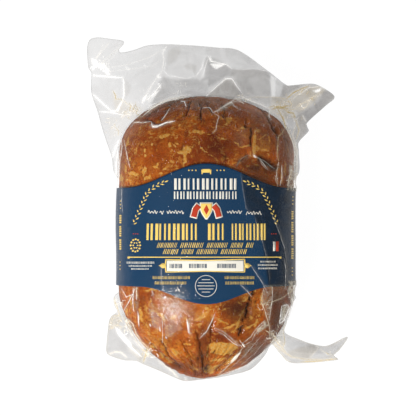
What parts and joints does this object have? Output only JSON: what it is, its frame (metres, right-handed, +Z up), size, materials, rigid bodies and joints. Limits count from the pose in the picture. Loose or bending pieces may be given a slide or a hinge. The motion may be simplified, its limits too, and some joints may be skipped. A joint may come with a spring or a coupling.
{
  "type": "vacuum-packed ham",
  "caption": "Whole cooked ham, log-shaped with gathered ends, sealed in a loose clear vacuum bag with a wide paper band round its middle.",
  "frame": {"origin": "middle of the flat on the pack's back that it rests on, under the middle of the ham", "axes": "+X to the right across the pack as the band is read, +Y along the ham towards the wide loose end of the bag, +Z up out of the band's front"},
  "size_m": [0.197, 0.257, 0.096],
  "materials": {
    "film": "thin clear vacuum-bag film, glossy and creased, drawn tight over the ham and loose at its margins",
    "ham": "orange-brown cooked and smoked ham surface with cream fat patches, wet under the film",
    "band": "smooth navy blue coated paper under the film",
    "gold_print": "flat gold-yellow ink",
    "cream_print": "flat cream-white ink",
    "red_print": "flat red-orange ink"
  },
  "bodies": {
    "root": {"bag": "film", "band": "band"}
  },
  "joints": []
}
